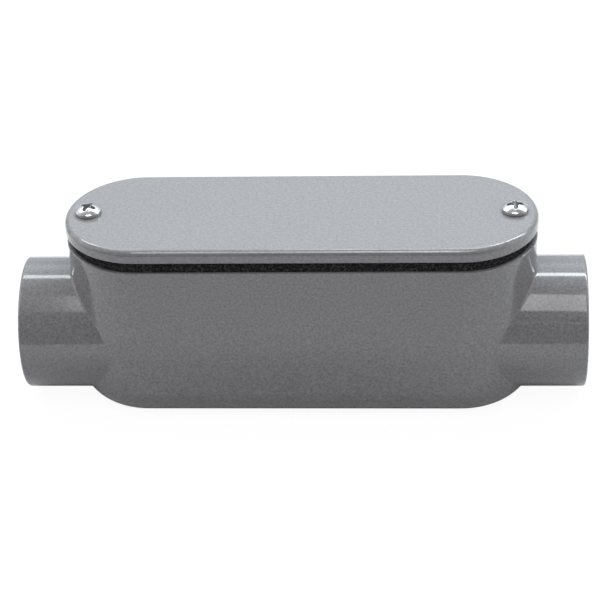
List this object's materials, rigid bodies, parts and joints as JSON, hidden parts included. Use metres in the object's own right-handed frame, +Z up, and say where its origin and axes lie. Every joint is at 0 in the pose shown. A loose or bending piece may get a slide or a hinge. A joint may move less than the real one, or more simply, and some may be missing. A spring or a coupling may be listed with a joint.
{
  "type": "conduit body",
  "caption": "Straight-through plastic conduit body: round-ended housing with a conduit socket at each end, gasketed cover plate and two pan head screws.",
  "frame": {"origin": "on the flat base, under the middle of the housing", "axes": "+X along the hubs, +Z up from the base to the cover, +Y across the housing"},
  "size_m": [0.1736, 0.0468, 0.0642],
  "materials": {
    "housing_plastic": "grey moulded PVC, semi-gloss with a fine mottle",
    "cover_plastic": "grey moulded PVC, smooth semi-gloss",
    "gasket_foam": "black closed-cell foam, cut edge",
    "screw_steel": "bright zinc-plated steel"
  },
  "bodies": {
    "housing": {"housing": "housing_plastic"},
    "cover": {"cover": "cover_plastic", "gasket": "gasket_foam"},
    "screw_left": {"screw_left": "screw_steel"},
    "screw_right": {"screw_right": "screw_steel"}
  },
  "joints": [
    {"name": "cover_lift", "type": "slide", "parent": "housing", "child": "cover", "axis": [0, 0, 1], "range_m": [0, 0.01429]},
    {"name": "screw_left_turn", "type": "hinge", "parent": "cover", "child": "screw_left", "pos_m": [-0.0647, 0, 0.06157], "axis": [0, 0, 1], "range_deg": [0, 6481]},
    {"name": "screw_right_turn", "type": "hinge", "parent": "cover", "child": "screw_right", "pos_m": [0.0647, 0, 0.06157], "axis": [0, 0, 1], "range_deg": [0, 6481]}
  ],
  "couplings": [
    {"joint": "screw_left_turn", "follows": "cover_lift", "rad_per_m": 7915.8},
    {"joint": "screw_right_turn", "follows": "cover_lift", "rad_per_m": 7915.8}
  ]
}
